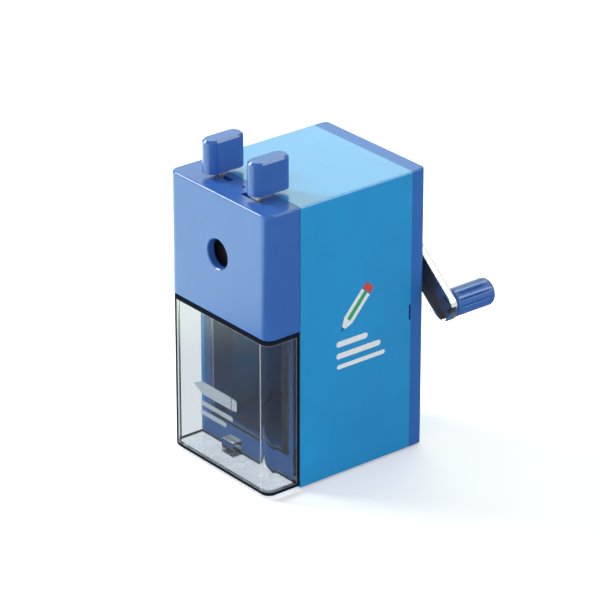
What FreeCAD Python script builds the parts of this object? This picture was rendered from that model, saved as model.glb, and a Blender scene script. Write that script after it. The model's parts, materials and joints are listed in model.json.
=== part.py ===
import math
import os

import FreeCAD
import Part
import Sketcher

# A desktop crank pencil sharpener. +Z is up and -Y is the front, where the pencil goes in. The origin is
# the centre of the case's footprint, on the surface that the sharpener stands on. All sizes are millimetres.

SIZES = {
    "case_width": 60.0, "case_depth": 77.5, "case_height": 118.0, "wall": 2.0,
    "face_depth": 16.0, "cover_depth": 7.0, "face_bottom": 67.0,
    "front_round": 3.9, "cover_round": 2.5, "top_round": 0.9, "edge_round": 0.4,
    "axis_height": 93.0, "mouth_radius": 6.0, "passage_radius": 4.7, "moving_gap": 0.3, "running_gap": 0.04,
    "pad_thickness": 0.8, "pad_reach": 22.0, "pad_front": -16.0, "pad_back": 30.0,
    "notch_low": 56.0, "notch_high": 62.4, "notch_depth": 0.9, "notch_cut": 3.0,

    "cover_screw_low": 8.0, "cover_screw_high": 112.0, "cover_screw_reach": 22.0, "cover_screw_length": 9.0,
    "cover_screw_radius": 1.5, "cover_screw_hole": 1.6, "cover_head_radius": 2.9, "cover_head_seat": 2.6,
    "cover_head_height": 1.8, "cover_head_hole": 3.1, "cover_post_radius": 3.9, "screw_block_half": 4.0,
    "screw_block_drop": 4.5, "screw_block_length": 10.0,
    "cross_reach": 2.4, "cross_half": 0.4, "cross_depth": 0.7,
    "ear_reach": 18.9, "ear_high": 103.9, "ear_low": 71.2, "ear_radius": 3.4, "ear_thickness": 2.0,
    "ear_screw_radius": 1.3, "ear_head_radius": 2.6, "ear_head_height": 1.6,

    "face_wall": 2.2, "face_front_wall": 3.0, "back_plate_thickness": 2.0, "back_plate_gap": 0.25,
    "boss_reach": 24.3, "boss_low": 72.2, "boss_high": 111.8, "boss_radius": 3.0,
    "screw_radius": 1.2, "screw_length": 6.5, "screw_hole": 1.4, "screw_head": 2.4, "screw_head_hole": 2.6,
    "dimple_x": 1.6, "dimple_y": -27.1, "dimple_radius": 0.7,
    "slot_inner": 6.0, "slot_outer": 16.7, "slot_gap": 0.4,

    "plate_thickness": 1.6, "plate_front": -31.65, "plate_pitch": 3.9, "jaw_radius": 10.5,
    "jaw_hole": 4.5, "jaw_offset": 1.2, "pivot_height": 74.0, "pivot_radius": 2.0, "pivot_eye": 4.4,
    "shank_half": 4.0, "lever_reach": 13.7, "strip_width": 4.4, "tongue_width": 3.6, "tongue_top": 128.0,
    "lug_inner": 9.2, "lug_outer": 12.8, "lug_low": 11.6, "lug_high": 16.4, "lug_length": 2.9,
    "cap_width": 7.6, "cap_length": 17.8, "cap_front": -34.0, "cap_bottom": 120.2, "cap_height": 13.4,
    "cap_bevel": 0.9, "grip_wire": 0.3, "grip_coil": 1.9, "grip_reach": 9.15, "grip_height": 14.0,
    "grip_turns": 9,

    "rod_reach": 20.0, "rod_height": 78.0, "rod_radius": 2.0, "rod_end": 30.0, "rod_head_radius": 3.4,
    "rod_head_height": 0.9, "bush_length": 6.75, "bush_radius": 3.5,
    "clip_thickness": 1.0, "clip_radius": 3.4, "clip_place": 27.2,
    "wire_radius": 0.35, "coil_radius": 2.9, "coil_turns": 11, "coil_gap": 0.05,

    "chassis_wall": 2.2, "chassis_floor": 2.4, "opening_reach": 23.5, "sill_top": 11.6, "opening_top": 64.5,
    "rail_reach": 18.0, "rail_half": 2.0, "rail_back": 20.0, "post_front": 22.0,
    "guide_reach": 25.6, "guide_half": 1.4, "guide_length": 8.0,

    "housing_radius": 19.0, "ring_radius": 17.0, "gear_plane": 4.3, "pinion_distance": 10.0,
    "ring_pitch_radius": 14.5, "pinion_pitch_radius": 4.5, "ring_teeth": 29, "pinion_teeth": 9,
    "ring_ahead": 1.7, "ring_behind": 2.4, "journal_length": 2.5,
    "tooth_height": 0.8, "tooth_depth": 1.15, "gap_half_width": 0.93, "flank_slope": 0.364,
    "pinion_width": 2.0, "carrier_radius": 15.0, "carrier_wall": 2.0, "hub_radius": 9.0, "hub_front": 12.6,
    "guide_wall": 1.7, "guide_depth": 5.0, "shaft_boss": 5.0,
    "shaft_start": 17.4, "shaft_radius": 3.0, "bearing_radius": 5.0, "bearing_front": 28.0,
    "bearing_seat": 2.5, "shaft_clip_front": 26.6, "shaft_clip_thickness": 1.0, "shaft_clip_radius": 5.0,

    "cutter_tilt": 10.5, "cutter_radius": 5.0, "cutter_start": 6.2, "cutter_length": 24.0,
    "cutter_room": 0.6, "cutter_blades": 12, "groove_half": 0.95, "groove_bottom": 0.15, "groove_depth": 1.2,
    "axle_radius": 1.6, "axle_start": -1.9, "axle_end": 35.2, "sleeve_radius": 2.6,

    "crank_turn": 40.0, "arm_length": 49.0, "arm_half_width": 6.0, "arm_depth": 3.4, "arm_metal": 1.1,
    "arm_gap": 2.4, "arm_rim": 0.88, "collar_radius": 4.5, "collar_gap": 0.4,
    "arm_head_radius": 3.4, "arm_head_height": 1.8, "arm_slot_depth": 0.8, "arm_screw_length": 8.0,
    "pin_radius": 1.5, "pin_head_radius": 2.8, "pin_head_height": 1.1, "pin_cap_radius": 2.7,
    "pin_cap_height": 1.2, "pin_recess": 1.4, "handle_gap": 0.45,
    "handle_radius": 5.6, "handle_length": 19.4, "handle_crown": 1.8, "handle_well": 3.1,
    "handle_well_depth": 3.0, "handle_ridges": 12, "ridge_radius": 0.75, "ridge_offset": 0.25,
    "ridge_start": 2.2, "ridge_margin": 2.6,

    "drawer_top": 66.7, "drawer_bottom": 1.0, "drawer_wall": 2.0, "drawer_gap": 0.2, "drawer_round": 1.35,
    "tray_reach": 22.9, "tray_bottom": 12.4, "tray_top": 63.5, "tray_end": 26.0,
    "drawer_block_left": -9.5, "drawer_block_right": -2.5, "drawer_block_depth": 4.4,
    "drawer_block_height": 6.0,
}

doc = FreeCAD.newDocument("crank_pencil_sharpener")
sheet = doc.addObject("Spreadsheet::Sheet", "sizes")
PIECES = []
UP = FreeCAD.Vector(0, 0, 1)
ALONG_X = FreeCAD.Vector(1, 0, 0)
ALONG_Y = FreeCAD.Vector(0, 1, 0)
TO_Y = FreeCAD.Rotation(ALONG_X, -90)
TO_X = FreeCAD.Rotation(ALONG_Y, 90)


class Size:
    """A number together with the sheet expression that gives it."""

    def __init__(self, number, text):
        self.number = number
        self.text = text

    def __add__(self, other):
        other = as_size(other)
        return Size(self.number + other.number, "(%s + %s)" % (self.text, other.text))

    def __sub__(self, other):
        other = as_size(other)
        return Size(self.number - other.number, "(%s - %s)" % (self.text, other.text))

    def __mul__(self, other):
        other = as_size(other)
        return Size(self.number * other.number, "(%s * %s)" % (self.text, other.text))

    def __truediv__(self, other):
        other = as_size(other)
        return Size(self.number / other.number, "(%s / %s)" % (self.text, other.text))

    def __neg__(self):
        return self * -1

    def __radd__(self, other):
        return as_size(other) + self

    def __rsub__(self, other):
        return as_size(other) - self

    def __rmul__(self, other):
        return as_size(other) * self


def as_size(value):
    """A plain number as a size of its own."""
    if isinstance(value, Size):
        return value
    return Size(float(value), "(%r)" % float(value))


class Sheet:
    """The driving sizes, by alias."""


s = Sheet()
for row, (alias, number) in enumerate(SIZES.items(), start=1):
    cell = "A%d" % row
    sheet.set(cell, str(number))
    sheet.setAlias(cell, alias)
    setattr(s, alias, Size(float(number), "sizes." + alias))
doc.recompute()


# ---------------------------------------------------------------- helpers

def bind(item, target, value):
    """Drive one property of an object from the sheet."""
    item.setExpression(target, as_size(value).text)


def put(item, x=0, y=0, z=0, turn=None):
    """Give an object its Placement, with its position driven from the sheet."""
    item.Placement = FreeCAD.Placement(FreeCAD.Vector(), turn or FreeCAD.Rotation())
    for axis, value in zip("xyz", (x, y, z)):
        bind(item, "Placement.Base." + axis, value)
    return item


def tilt(item, axis, angle):
    """Turn an object about an axis through its own origin, by an angle from the sheet."""
    item.Placement = FreeCAD.Placement(item.Placement.Base, FreeCAD.Rotation(axis, as_size(angle).number))
    bind(item, "Placement.Rotation.Angle", angle)
    return item


def finish_piece(item, label):
    """Name a finished sub-part and list it for writing."""
    item.Label = label
    PIECES.append(item)
    return item


def block(low, high):
    """A box from its lowest to its highest corner."""
    item = doc.addObject("Part::Box", "block")
    for target, first, last in zip(("Length", "Width", "Height"), low, high):
        bind(item, target, as_size(last) - first)
    return put(item, *low)


def bar(radius, x, z, start, end):
    """A round bar along Y."""
    item = doc.addObject("Part::Cylinder", "bar")
    bind(item, "Radius", radius)
    bind(item, "Height", as_size(end) - start)
    return put(item, x, start, z, TO_Y)


def joined(*items):
    """Several solids made one, or kept together as one group of separate solids."""
    item = doc.addObject("Part::MultiFuse", "joined")
    item.Shapes = list(items)
    item.Refine = True
    return item


def cut(base, *tools):
    """A solid with others taken away."""
    item = doc.addObject("Part::Cut", "cut")
    item.Base = base
    item.Tool = tools[0] if len(tools) == 1 else joined(*tools)
    item.Refine = True
    return item


def ring(outer, inner, x, z, start, end):
    """A round ring or tube along Y."""
    return cut(bar(outer, x, z, start, end), bar(inner, x, z, start - as_size(1), end + as_size(1)))


def new_body(name):
    return doc.addObject("PartDesign::Body", name)


def constrain(sketch, kind, value, *where):
    """Add a dimension to a sketch and drive it from the sheet."""
    value = as_size(value)
    index = sketch.addConstraint(Sketcher.Constraint(kind, *where, value.number))
    sketch.renameConstraint(index, "size_%d" % index)
    bind(sketch, "Constraints.size_%d" % index, value)


def outline(points):
    """A closed outline of straight sides."""
    def draw(sketch):
        first = sketch.GeometryCount
        corners = [FreeCAD.Vector(as_size(u).number, as_size(v).number, 0) for u, v in points]
        count = len(points)
        for index in range(count):
            sketch.addGeometry(Part.LineSegment(corners[index], corners[(index + 1) % count]), False)
        for index, (u, v) in enumerate(points):
            following = first + (index + 1) % count
            sketch.addConstraint(Sketcher.Constraint("Coincident", first + index, 2, following, 1))
            constrain(sketch, "DistanceX", u, -1, 1, first + index, 1)
            constrain(sketch, "DistanceY", v, -1, 1, first + index, 1)
    return draw


def rectangle(u_low, u_high, v_low, v_high):
    return outline([(u_low, v_low), (u_high, v_low), (u_high, v_high), (u_low, v_high)])


def circle(u, v, radius):
    """A circle by centre and radius."""
    def draw(sketch):
        centre = FreeCAD.Vector(as_size(u).number, as_size(v).number, 0)
        index = sketch.addGeometry(Part.Circle(centre, UP, as_size(radius).number), False)
        constrain(sketch, "DistanceX", u, -1, 1, index, 3)
        constrain(sketch, "DistanceY", v, -1, 1, index, 3)
        constrain(sketch, "Radius", radius, index)
    return draw


def circles(places, radius):
    """Circles of one radius at a list of places."""
    return [circle(u, v, radius) for u, v in places]


def span(side, inner, outer):
    """Two distances from the middle, on one side of it, as a low and a high place."""
    return (inner, outer) if side > 0 else (-as_size(outer), -as_size(inner))


def feature(body, kind, name):
    item = body.newObject("PartDesign::" + kind, name)
    body.Tip = item
    return item


def sketch_on(body, role, level, loops):
    """A sketch on one of the body's own planes, moved along the plane's normal by a level."""
    item = body.newObject("Sketcher::SketchObject", body.Name + "_sketch")
    own_plane = next(part for part in body.Origin.OriginFeatures if part.Role == role)
    item.AttachmentSupport = (own_plane, [""])
    item.MapMode = "FlatFace"
    bind(item, "AttachmentOffset.Base.z", level)
    for loop in loops:
        loop(item)
    return item


def pad(body, start, end, *loops, role="XZ_Plane"):
    """Material from start to end: along Y with the XZ plane, whose normal is -Y, or along Z with the XY."""
    level = -as_size(end) if role == "XZ_Plane" else start
    profile = sketch_on(body, role, level, loops)
    item = feature(body, "Pad", body.Name + "_pad")
    item.Profile = profile
    bind(item, "Length", as_size(end) - start)
    return item


def pocket(body, start, end, *loops, role="XZ_Plane"):
    """A hollow from start to end, which has to take something away."""
    doc.recompute()
    before = body.Tip.Shape.Volume
    level = -as_size(start) if role == "XZ_Plane" else end
    profile = sketch_on(body, role, level, loops)
    item = feature(body, "Pocket", body.Name + "_pocket")
    item.Profile = profile
    bind(item, "Length", as_size(end) - start)
    doc.recompute()
    if item.Shape.Volume > before - 0.01:
        raise RuntimeError("%s cuts nothing" % item.Name)
    return item


def edges_where(item, direction, test):
    """Names of the straight edges along a direction whose middle passes a test."""
    doc.recompute()
    names = []
    for index, edge in enumerate(item.Shape.Edges, start=1):
        if len(edge.Vertexes) < 2 or edge.Curve.TypeId != "Part::GeomLine":
            continue
        along = edge.Vertexes[1].Point - edge.Vertexes[0].Point
        if along.cross(direction).Length < 0.001 * along.Length and test(edge.CenterOfMass):
            names.append("Edge%d" % index)
    return names


def soften(body, kind, size, direction, test):
    """Fillet or chamfer the tip's straight edges that pass a test."""
    base = body.Tip
    names = edges_where(base, direction, test)
    item = feature(body, kind, body.Name + "_" + kind.lower())
    item.Base = (base, names)
    bind(item, "Radius" if kind == "Fillet" else "Size", size)
    return item


def round_rim(body, kind, size, test):
    """Fillet or chamfer every edge of the tip, arcs too, whose bounding box passes a test."""
    doc.recompute()
    base = body.Tip
    names = ["Edge%d" % index for index, edge in enumerate(base.Shape.Edges, start=1) if test(edge.BoundBox)]
    item = feature(body, kind, body.Name + "_rim")
    item.Base = (base, names)
    bind(item, "Radius" if kind == "Fillet" else "Size", size)
    return item


def repeat_round(body, original, count):
    """Repeat a feature round the body's own Y axis."""
    item = feature(body, "PolarPattern", body.Name + "_pattern")
    item.Originals = [original]
    axis = next(part for part in body.Origin.OriginFeatures if part.Role == "Y_Axis")
    item.Axis = (axis, [""])
    item.Angle = 360
    bind(item, "Occurrences", count)
    body.Tip = item
    return item


def coil(wire, radius, length, turns, turn, x, y, z):
    """A round wire wound as a helix, with its axis turned from Z."""
    spine = doc.addObject("Part::Helix", "spine")
    bind(spine, "Radius", radius)
    bind(spine, "Height", length)
    bind(spine, "Pitch", as_size(length) / turns)
    section = doc.addObject("Part::Circle", "section")
    bind(section, "Radius", wire)
    section.Placement = FreeCAD.Placement(FreeCAD.Vector(), FreeCAD.Rotation(ALONG_X, 90))
    bind(section, "Placement.Base.x", radius)
    item = doc.addObject("Part::Sweep", "coil")
    item.Sections = [section]
    item.Spine = (spine, [])
    item.Solid = True
    item.Frenet = True
    return put(item, x, y, z, turn)


# ---------------------------------------------------------------- places worked out from the sizes

half_width = s.case_width / 2
front = -s.case_depth / 2
seam = front + s.face_depth
back = s.case_depth / 2
cover_front = back - s.cover_depth
inner_width = half_width - s.wall
inner_top = s.case_height - s.wall
wall_back = seam + s.chassis_wall
face_back = seam - s.moving_gap
case_bottom = s.pad_thickness
floor_top = case_bottom + s.chassis_floor
gear_y = seam + s.gear_plane
ring_front = gear_y - s.ring_ahead
shoulder = gear_y + s.ring_behind
journal_end = shoulder + s.journal_length
carrier_front = shoulder + s.moving_gap
carrier_plate_back = carrier_front + s.carrier_wall
back_plate_back = face_back - s.back_plate_gap
back_plate_front = back_plate_back - s.back_plate_thickness
cover_places = [(side * s.cover_screw_reach, height) for side in (-1, 1)
                for height in (s.cover_screw_low, s.cover_screw_high)]
boss_places = [(side * s.boss_reach, height) for side in (-1, 1) for height in (s.boss_low, s.boss_high)]
ear_places = [(-s.ear_reach, s.ear_high), (s.ear_reach, s.ear_high), (0, s.ear_low)]


# ---------------------------------------------------------------- case

def make_body_shell():
    """Top and sides of the case: an inverted U with screw blocks under its top."""
    body = new_body("body_shell")
    pad(body, seam, cover_front, outline([
        (-half_width, case_bottom), (-half_width, s.case_height), (half_width, s.case_height),
        (half_width, case_bottom), (inner_width, case_bottom), (inner_width, inner_top),
        (-inner_width, inner_top), (-inner_width, case_bottom)]))
    soften(body, "Fillet", s.top_round, ALONG_Y, lambda p: p.z > s.case_height.number - 0.1)
    low = s.cover_screw_high - s.screw_block_drop
    for side in (-1, 1):
        left, right = span(side, s.cover_screw_reach - s.screw_block_half,
                           s.cover_screw_reach + s.screw_block_half)
        pad(body, cover_front - s.screw_block_length, cover_front,
            rectangle(left, right, low, inner_top + 0.5))
    upper = [(x, z) for x, z in cover_places if z is s.cover_screw_high]
    pocket(body, cover_front - s.cover_screw_length, cover_front, *circles(upper, s.cover_screw_radius))
    for side in (-1, 1):
        left, right = span(side, half_width - s.notch_cut, half_width + s.notch_cut)
        pocket(body, cover_front - s.notch_depth, cover_front,
               rectangle(left, right, s.notch_low, s.notch_high))
    finish_piece(body, "body_shell")


def make_rear_cover():
    """Back of the case: a shallow tray with four screw posts and the seat of the crank's bearing."""
    body = new_body("rear_cover")
    pad(body, cover_front, back, rectangle(-half_width, half_width, case_bottom, s.case_height))
    soften(body, "Fillet", s.cover_round, UP, lambda p: p.y > back.number - 0.1)
    soften(body, "Fillet", s.top_round, ALONG_X,
           lambda p: p.y > back.number - 0.1 and p.z > s.case_height.number - 3)
    pocket(body, cover_front, back - s.wall,
           rectangle(-inner_width, inner_width, case_bottom + s.wall, inner_top))
    head_seat = back - s.cover_head_seat
    pad(body, cover_front, back - 1, *circles(cover_places, s.cover_post_radius))
    pad(body, cover_front - 1.5, back - 1, circle(0, s.axis_height, s.bearing_radius + s.bearing_seat))
    pocket(body, cover_front - 2, back + 1, circle(0, s.axis_height, s.bearing_radius))
    pocket(body, cover_front - 1, back + 1, *circles(cover_places, s.cover_screw_hole))
    pocket(body, head_seat, back + 1, *circles(cover_places, s.cover_head_hole))
    finish_piece(body, "rear_cover")

    screws = []
    head_back = head_seat + s.cover_head_height
    slot_front = head_back - s.cross_depth
    for x, z in cover_places:
        shank = bar(s.cover_screw_radius, x, z, cover_front - s.cover_screw_length, head_seat)
        head = bar(s.cover_head_radius, x, z, head_seat, head_back)
        flat_slot = block((x - s.cross_reach, slot_front, z - s.cross_half),
                          (x + s.cross_reach, back, z + s.cross_half))
        upright_slot = block((x - s.cross_half, slot_front, z - s.cross_reach),
                             (x + s.cross_half, back, z + s.cross_reach))
        screws.append(cut(joined(shank, head), flat_slot, upright_slot))
    finish_piece(joined(*screws), "cover_screws")


def make_chassis():
    """Inner frame: front wall with the drawer opening, floor, drawer rails and rear screw posts."""
    body = new_body("chassis")
    gear_hole = circle(0, s.axis_height, s.ring_radius - 0.8)
    bush_holes = circles([(side * s.rod_reach, s.rod_height) for side in (-1, 1)], s.bush_radius)
    pad(body, seam, wall_back, rectangle(-inner_width, inner_width, case_bottom, inner_top),
        rectangle(-s.opening_reach, s.opening_reach, s.sill_top, s.opening_top), gear_hole, *bush_holes,
        *circles(ear_places, s.ear_screw_radius))
    pad(body, wall_back, cover_front, rectangle(-inner_width, inner_width, case_bottom, floor_top))
    rail_low = floor_top - 0.2
    rail_high = s.tray_bottom - 0.4
    for side in (-1, 1):
        rail = span(side, s.rail_reach - s.rail_half, s.rail_reach + s.rail_half)
        post = span(side, s.cover_screw_reach - s.screw_block_half, s.cover_screw_reach + s.screw_block_half)
        guide = span(side, s.guide_reach - s.guide_half, s.guide_reach + s.guide_half)
        pad(body, wall_back, s.rail_back, rectangle(*rail, rail_low, rail_high))
        pad(body, s.post_front, cover_front, rectangle(*post, rail_low, rail_high))
        pad(body, wall_back, wall_back + s.guide_length, rectangle(*guide, rail_low, s.opening_top + 2))
    lower = [(x, z) for x, z in cover_places if z is s.cover_screw_low]
    pocket(body, cover_front - s.cover_screw_length, cover_front + 1, *circles(lower, s.cover_screw_radius))
    finish_piece(body, "chassis")
    finish_piece(block((-s.pad_reach, s.pad_front, 0), (s.pad_reach, s.pad_back, s.pad_thickness)),
                 "anti_slip_pad")


# ---------------------------------------------------------------- gears and bearings

def make_gear_housing():
    """Cup on the chassis wall that holds the ring gear and carries the cutter carrier's front plate."""
    body = new_body("gear_housing")
    outer = circle(0, s.axis_height, s.housing_radius)
    pad(body, wall_back, shoulder, outer, circle(0, s.axis_height, s.ring_radius))
    pad(body, shoulder, journal_end, outer, circle(0, s.axis_height, s.carrier_radius + s.running_gap))
    for x, z in ear_places:
        pad(body, wall_back, wall_back + s.ear_thickness, circle(x, z, s.ear_radius))
    pocket(body, wall_back - 1, wall_back + s.ear_thickness + 1, *circles(ear_places, s.ear_screw_radius))
    finish_piece(body, "gear_housing")

    screws = []
    seat = wall_back + s.ear_thickness
    for x, z in ear_places:
        screws.append(joined(bar(s.ear_screw_radius, x, z, seam + 0.4, seat),
                             bar(s.ear_head_radius, x, z, seat, seat + s.ear_head_height)))
    finish_piece(joined(*screws), "gear_housing_screws")


def tooth_gap(pitch_radius, inner, outer, side):
    """Outline of the space between two teeth; side is 1 for a gap above the axis, -1 for one below."""
    inner_half = s.gap_half_width - (inner - pitch_radius) * s.flank_slope * side
    outer_half = s.gap_half_width - (outer - pitch_radius) * s.flank_slope * side
    return outline([(-inner_half, side * inner), (inner_half, side * inner),
                    (outer_half, side * outer), (-outer_half, side * outer)])


def make_ring_gear():
    """Fixed internal gear that the cutter's pinion rolls round."""
    body = new_body("ring_gear")
    tip = s.ring_pitch_radius - s.tooth_height
    root = s.ring_pitch_radius + s.tooth_depth
    width = shoulder - ring_front
    pad(body, 0, width, circle(0, 0, s.ring_radius), circle(0, 0, tip))
    gap = pocket(body, -1, width + 1, tooth_gap(s.ring_pitch_radius, tip - 0.3, root, 1))
    repeat_round(body, gap, s.ring_teeth)
    put(body, 0, ring_front, s.axis_height)
    finish_piece(body, "ring_gear")


def make_bearings():
    """Brass bearing of the crank's shaft and the two bushes of the guide rods."""
    bore = s.shaft_radius + s.running_gap
    barrel = ring(s.bearing_radius, bore, 0, s.axis_height, s.bearing_front, back)
    flange = ring(s.bearing_radius + 2, bore, 0, s.axis_height, s.bearing_front, s.bearing_front + 1)
    finish_piece(joined(barrel, flange), "rear_bearing")
    bushes = [ring(s.bush_radius, s.rod_radius + s.running_gap, side * s.rod_reach, s.rod_height,
                   seam, seam + s.bush_length) for side in (-1, 1)]
    finish_piece(joined(*bushes), "guide_bushes")


def make_return_springs():
    """Springs on the guide rods: they pull the pencil clamp back in and so feed the pencil."""
    start = seam + s.bush_length + s.wire_radius + s.coil_gap
    length = s.clip_place - s.wire_radius - s.coil_gap - start
    for label, side in (("return_spring_left", -1), ("return_spring_right", 1)):
        finish_piece(coil(s.wire_radius, s.coil_radius, length, s.coil_turns, TO_Y,
                          side * s.rod_reach, start, s.rod_height), label)


# ---------------------------------------------------------------- sliding pencil clamp

def make_face_shell():
    """Front block of the clamp: rounded at its front corners, open at the back, with the pencil's mouth."""
    body = new_body("face_shell")
    pad(body, front, face_back, rectangle(-half_width, half_width, s.face_bottom, s.case_height))
    soften(body, "Fillet", s.front_round, UP, lambda p: p.y < front.number + 0.1)
    open_back = face_back.number - 0.01
    top = s.case_height.number - 0.01
    bottom = s.face_bottom.number + 0.01
    round_rim(body, "Fillet", s.top_round, lambda box: box.ZMin > top and box.YMin < open_back)
    round_rim(body, "Fillet", s.edge_round, lambda box: box.ZMax < bottom and box.YMin < open_back)
    pocket(body, front + s.face_front_wall, face_back + 1,
           rectangle(-half_width + s.face_wall, half_width - s.face_wall,
                     s.face_bottom + s.face_wall, s.case_height - s.face_wall))
    pocket(body, front - 1, front + s.face_front_wall + 1, circle(0, s.axis_height, s.mouth_radius))
    round_rim(body, "Chamfer", s.edge_round, lambda box: box.YMax < front.number + 0.01
              and abs(box.XLength - 2 * s.mouth_radius.number) < 0.1)
    roof = s.case_height - s.face_wall - 1
    for side, plate_front in ((1, s.plate_front), (-1, s.plate_front + s.plate_pitch)):
        slot_front = plate_front - s.slot_gap
        slot_back = plate_front + s.plate_thickness + s.slot_gap
        low, high = span(side, s.slot_inner, s.slot_outer)
        pocket(body, slot_front, slot_back, rectangle(low, high, roof, s.case_height + 1))
    pocket(body, roof, s.case_height + 1, circle(s.dimple_x, s.dimple_y, s.dimple_radius), role="XY_Plane")
    pad(body, front + s.face_front_wall - 0.5, back_plate_front, *circles(boss_places, s.boss_radius))
    pocket(body, back_plate_front - s.screw_length - 0.5, back_plate_front + 0.5,
           *circles(boss_places, s.screw_radius))
    finish_piece(body, "face_shell")

    plate = new_body("face_back_plate")
    rods = circles([(side * s.rod_reach, s.rod_height) for side in (-1, 1)], s.rod_radius)
    edge = half_width - s.face_wall - 0.2
    pad(plate, back_plate_front, back_plate_back,
        rectangle(-edge, edge, s.face_bottom + s.face_wall + 0.2, s.case_height - s.face_wall - 0.2),
        circle(0, s.axis_height, s.mouth_radius - 0.5), *rods, circle(0, s.pivot_height, s.pivot_radius),
        *circles(boss_places, s.screw_hole))
    pocket(plate, back_plate_back - 1, back_plate_back + 1, *circles(boss_places, s.screw_head_hole))
    finish_piece(plate, "face_back_plate")

    screws = []
    seat = back_plate_back - 1
    for x, z in boss_places:
        screws.append(joined(bar(s.screw_radius, x, z, back_plate_front - s.screw_length, seat),
                             bar(s.screw_head, x, z, seat, back_plate_back - 0.1)))
    finish_piece(joined(*screws), "face_screws")


def make_guide_rods():
    """Two steel rods that carry the clamp, each with a head at the front and a clip at the back."""
    for label, side in (("guide_rod_left", -1), ("guide_rod_right", 1)):
        x = side * s.rod_reach
        rod = bar(s.rod_radius, x, s.rod_height, back_plate_front, s.rod_end)
        head = bar(s.rod_head_radius, x, s.rod_height,
                   back_plate_front - s.rod_head_height, back_plate_front)
        finish_piece(joined(rod, head), label)
    finish_piece(joined(*[
        ring(s.clip_radius, s.rod_radius, side * s.rod_reach, s.rod_height,
             s.clip_place, s.clip_place + s.clip_thickness) for side in (-1, 1)]), "rod_clips")


def make_lever_pivot():
    """Pin that both levers turn on, with the spacer between their plates."""
    pin_front = front + s.face_front_wall
    collar_radius = s.pivot_radius + 1.2
    step = bar(collar_radius, 0, s.pivot_height, pin_front, s.plate_front - 0.1)
    pin = bar(s.pivot_radius, 0, s.pivot_height, s.plate_front - 0.1, back_plate_back)
    finish_piece(joined(step, pin), "lever_pivot_pin")
    first_back = s.plate_front + s.plate_thickness
    second_front = s.plate_front + s.plate_pitch
    second_back = second_front + s.plate_thickness
    spacer = ring(collar_radius, s.pivot_radius, 0, s.pivot_height, first_back + 0.1, second_front - 0.1)
    collar = ring(collar_radius, s.pivot_radius, 0, s.pivot_height, second_back + 0.1, back_plate_front)
    finish_piece(joined(spacer, collar), "lever_spacer")
    spring_y = s.plate_front + (s.plate_pitch + s.plate_thickness) / 2
    reach = s.grip_reach - s.grip_wire - s.coil_gap
    finish_piece(coil(s.grip_wire, s.grip_coil, reach * 2, s.grip_turns, TO_X,
                      -reach, spring_y, s.axis_height + s.grip_height), "grip_spring")


def make_lever(side, name, plate_start, lug_start, lug_end):
    """One squeeze lever: a steel jaw plate with a strip up through the block's top, and its cap."""
    plate_end = plate_start + s.plate_thickness
    outer = s.lever_reach + s.strip_width / 2
    inner = s.lever_reach - s.strip_width / 2
    tongue_outer = s.lever_reach + s.tongue_width / 2
    tongue_inner = s.lever_reach - s.tongue_width / 2
    jaw = s.axis_height
    corners = [(-s.shank_half, s.pivot_height), (-s.shank_half, jaw), (3, jaw + 8.5), (inner, jaw + 12.5),
               (inner, s.cap_bottom), (tongue_inner, s.cap_bottom), (tongue_inner, s.tongue_top),
               (tongue_outer, s.tongue_top), (tongue_outer, s.cap_bottom), (outer, s.cap_bottom),
               (outer, jaw + 10), (9, jaw - 1), (s.shank_half, s.pivot_height)]
    plate = new_body(name + "_grip_plate")
    pad(plate, plate_start, plate_end, outline([(side * x, z) for x, z in corners]))
    pad(plate, plate_start, plate_end, circle(0, s.pivot_height, s.pivot_eye))
    pad(plate, plate_start, plate_end, circle(0, jaw, s.jaw_radius))
    low, high = span(side, s.lug_inner, s.lug_outer)
    pad(plate, lug_start, lug_end, rectangle(low, high, jaw + s.lug_low, jaw + s.lug_high))
    pocket(plate, plate_start - 1, plate_end + 1, circle(0, s.pivot_height, s.pivot_radius + s.running_gap),
           circle(side * s.jaw_offset, jaw, s.jaw_hole))
    finish_piece(plate, name + "_grip_plate")

    cap = new_body(name + "_lever_cap")
    half = s.cap_width / 2
    top = s.cap_bottom + s.cap_height
    pad(cap, s.cap_bottom, top, rectangle(-half, half, half, s.cap_length - half), role="XY_Plane")
    for end in (half, s.cap_length - half):
        pad(cap, s.cap_bottom, top, circle(0, end, half), role="XY_Plane")
    round_rim(cap, "Chamfer", s.cap_bevel, lambda box: box.ZMin > top.number - 0.01)
    socket_front = plate_start - s.cap_front
    pocket(cap, s.cap_bottom - 1, s.tongue_top, rectangle(
        -s.tongue_width / 2, s.tongue_width / 2, socket_front, socket_front + s.plate_thickness),
        role="XY_Plane")
    put(cap, side * s.lever_reach, s.cap_front, 0)
    finish_piece(cap, name + "_lever_cap")


def make_levers():
    """The two levers lie one behind the other on the pivot, with spring lugs bent towards each other."""
    right = s.plate_front
    left = s.plate_front + s.plate_pitch
    right_back = right + s.plate_thickness
    make_lever(1, "right", right, right_back - 0.5, right_back + s.lug_length)
    make_lever(-1, "left", left, left - s.lug_length, left + 0.5)


# ---------------------------------------------------------------- cutter carrier, cutter and crank

def tilted_bar(radius, start, end):
    """A round bar on the cutter's tilted axis, from start to end along it."""
    item = doc.addObject("Part::Cylinder", "tilted_bar")
    bind(item, "Radius", radius)
    bind(item, "Height", as_size(end) - start)
    put(item, 0, start, 0, TO_Y)
    holder = doc.addObject("Part::Compound", "tilted")
    holder.Links = [item]
    return tilt_to_cutter(holder)


def tilt_to_cutter(item):
    """Move something built along its own Y axis onto the cutter's axis."""
    put(item, 0, gear_y, s.axis_height + s.pinion_distance)
    return tilt(item, -ALONG_X, s.cutter_tilt)


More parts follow.
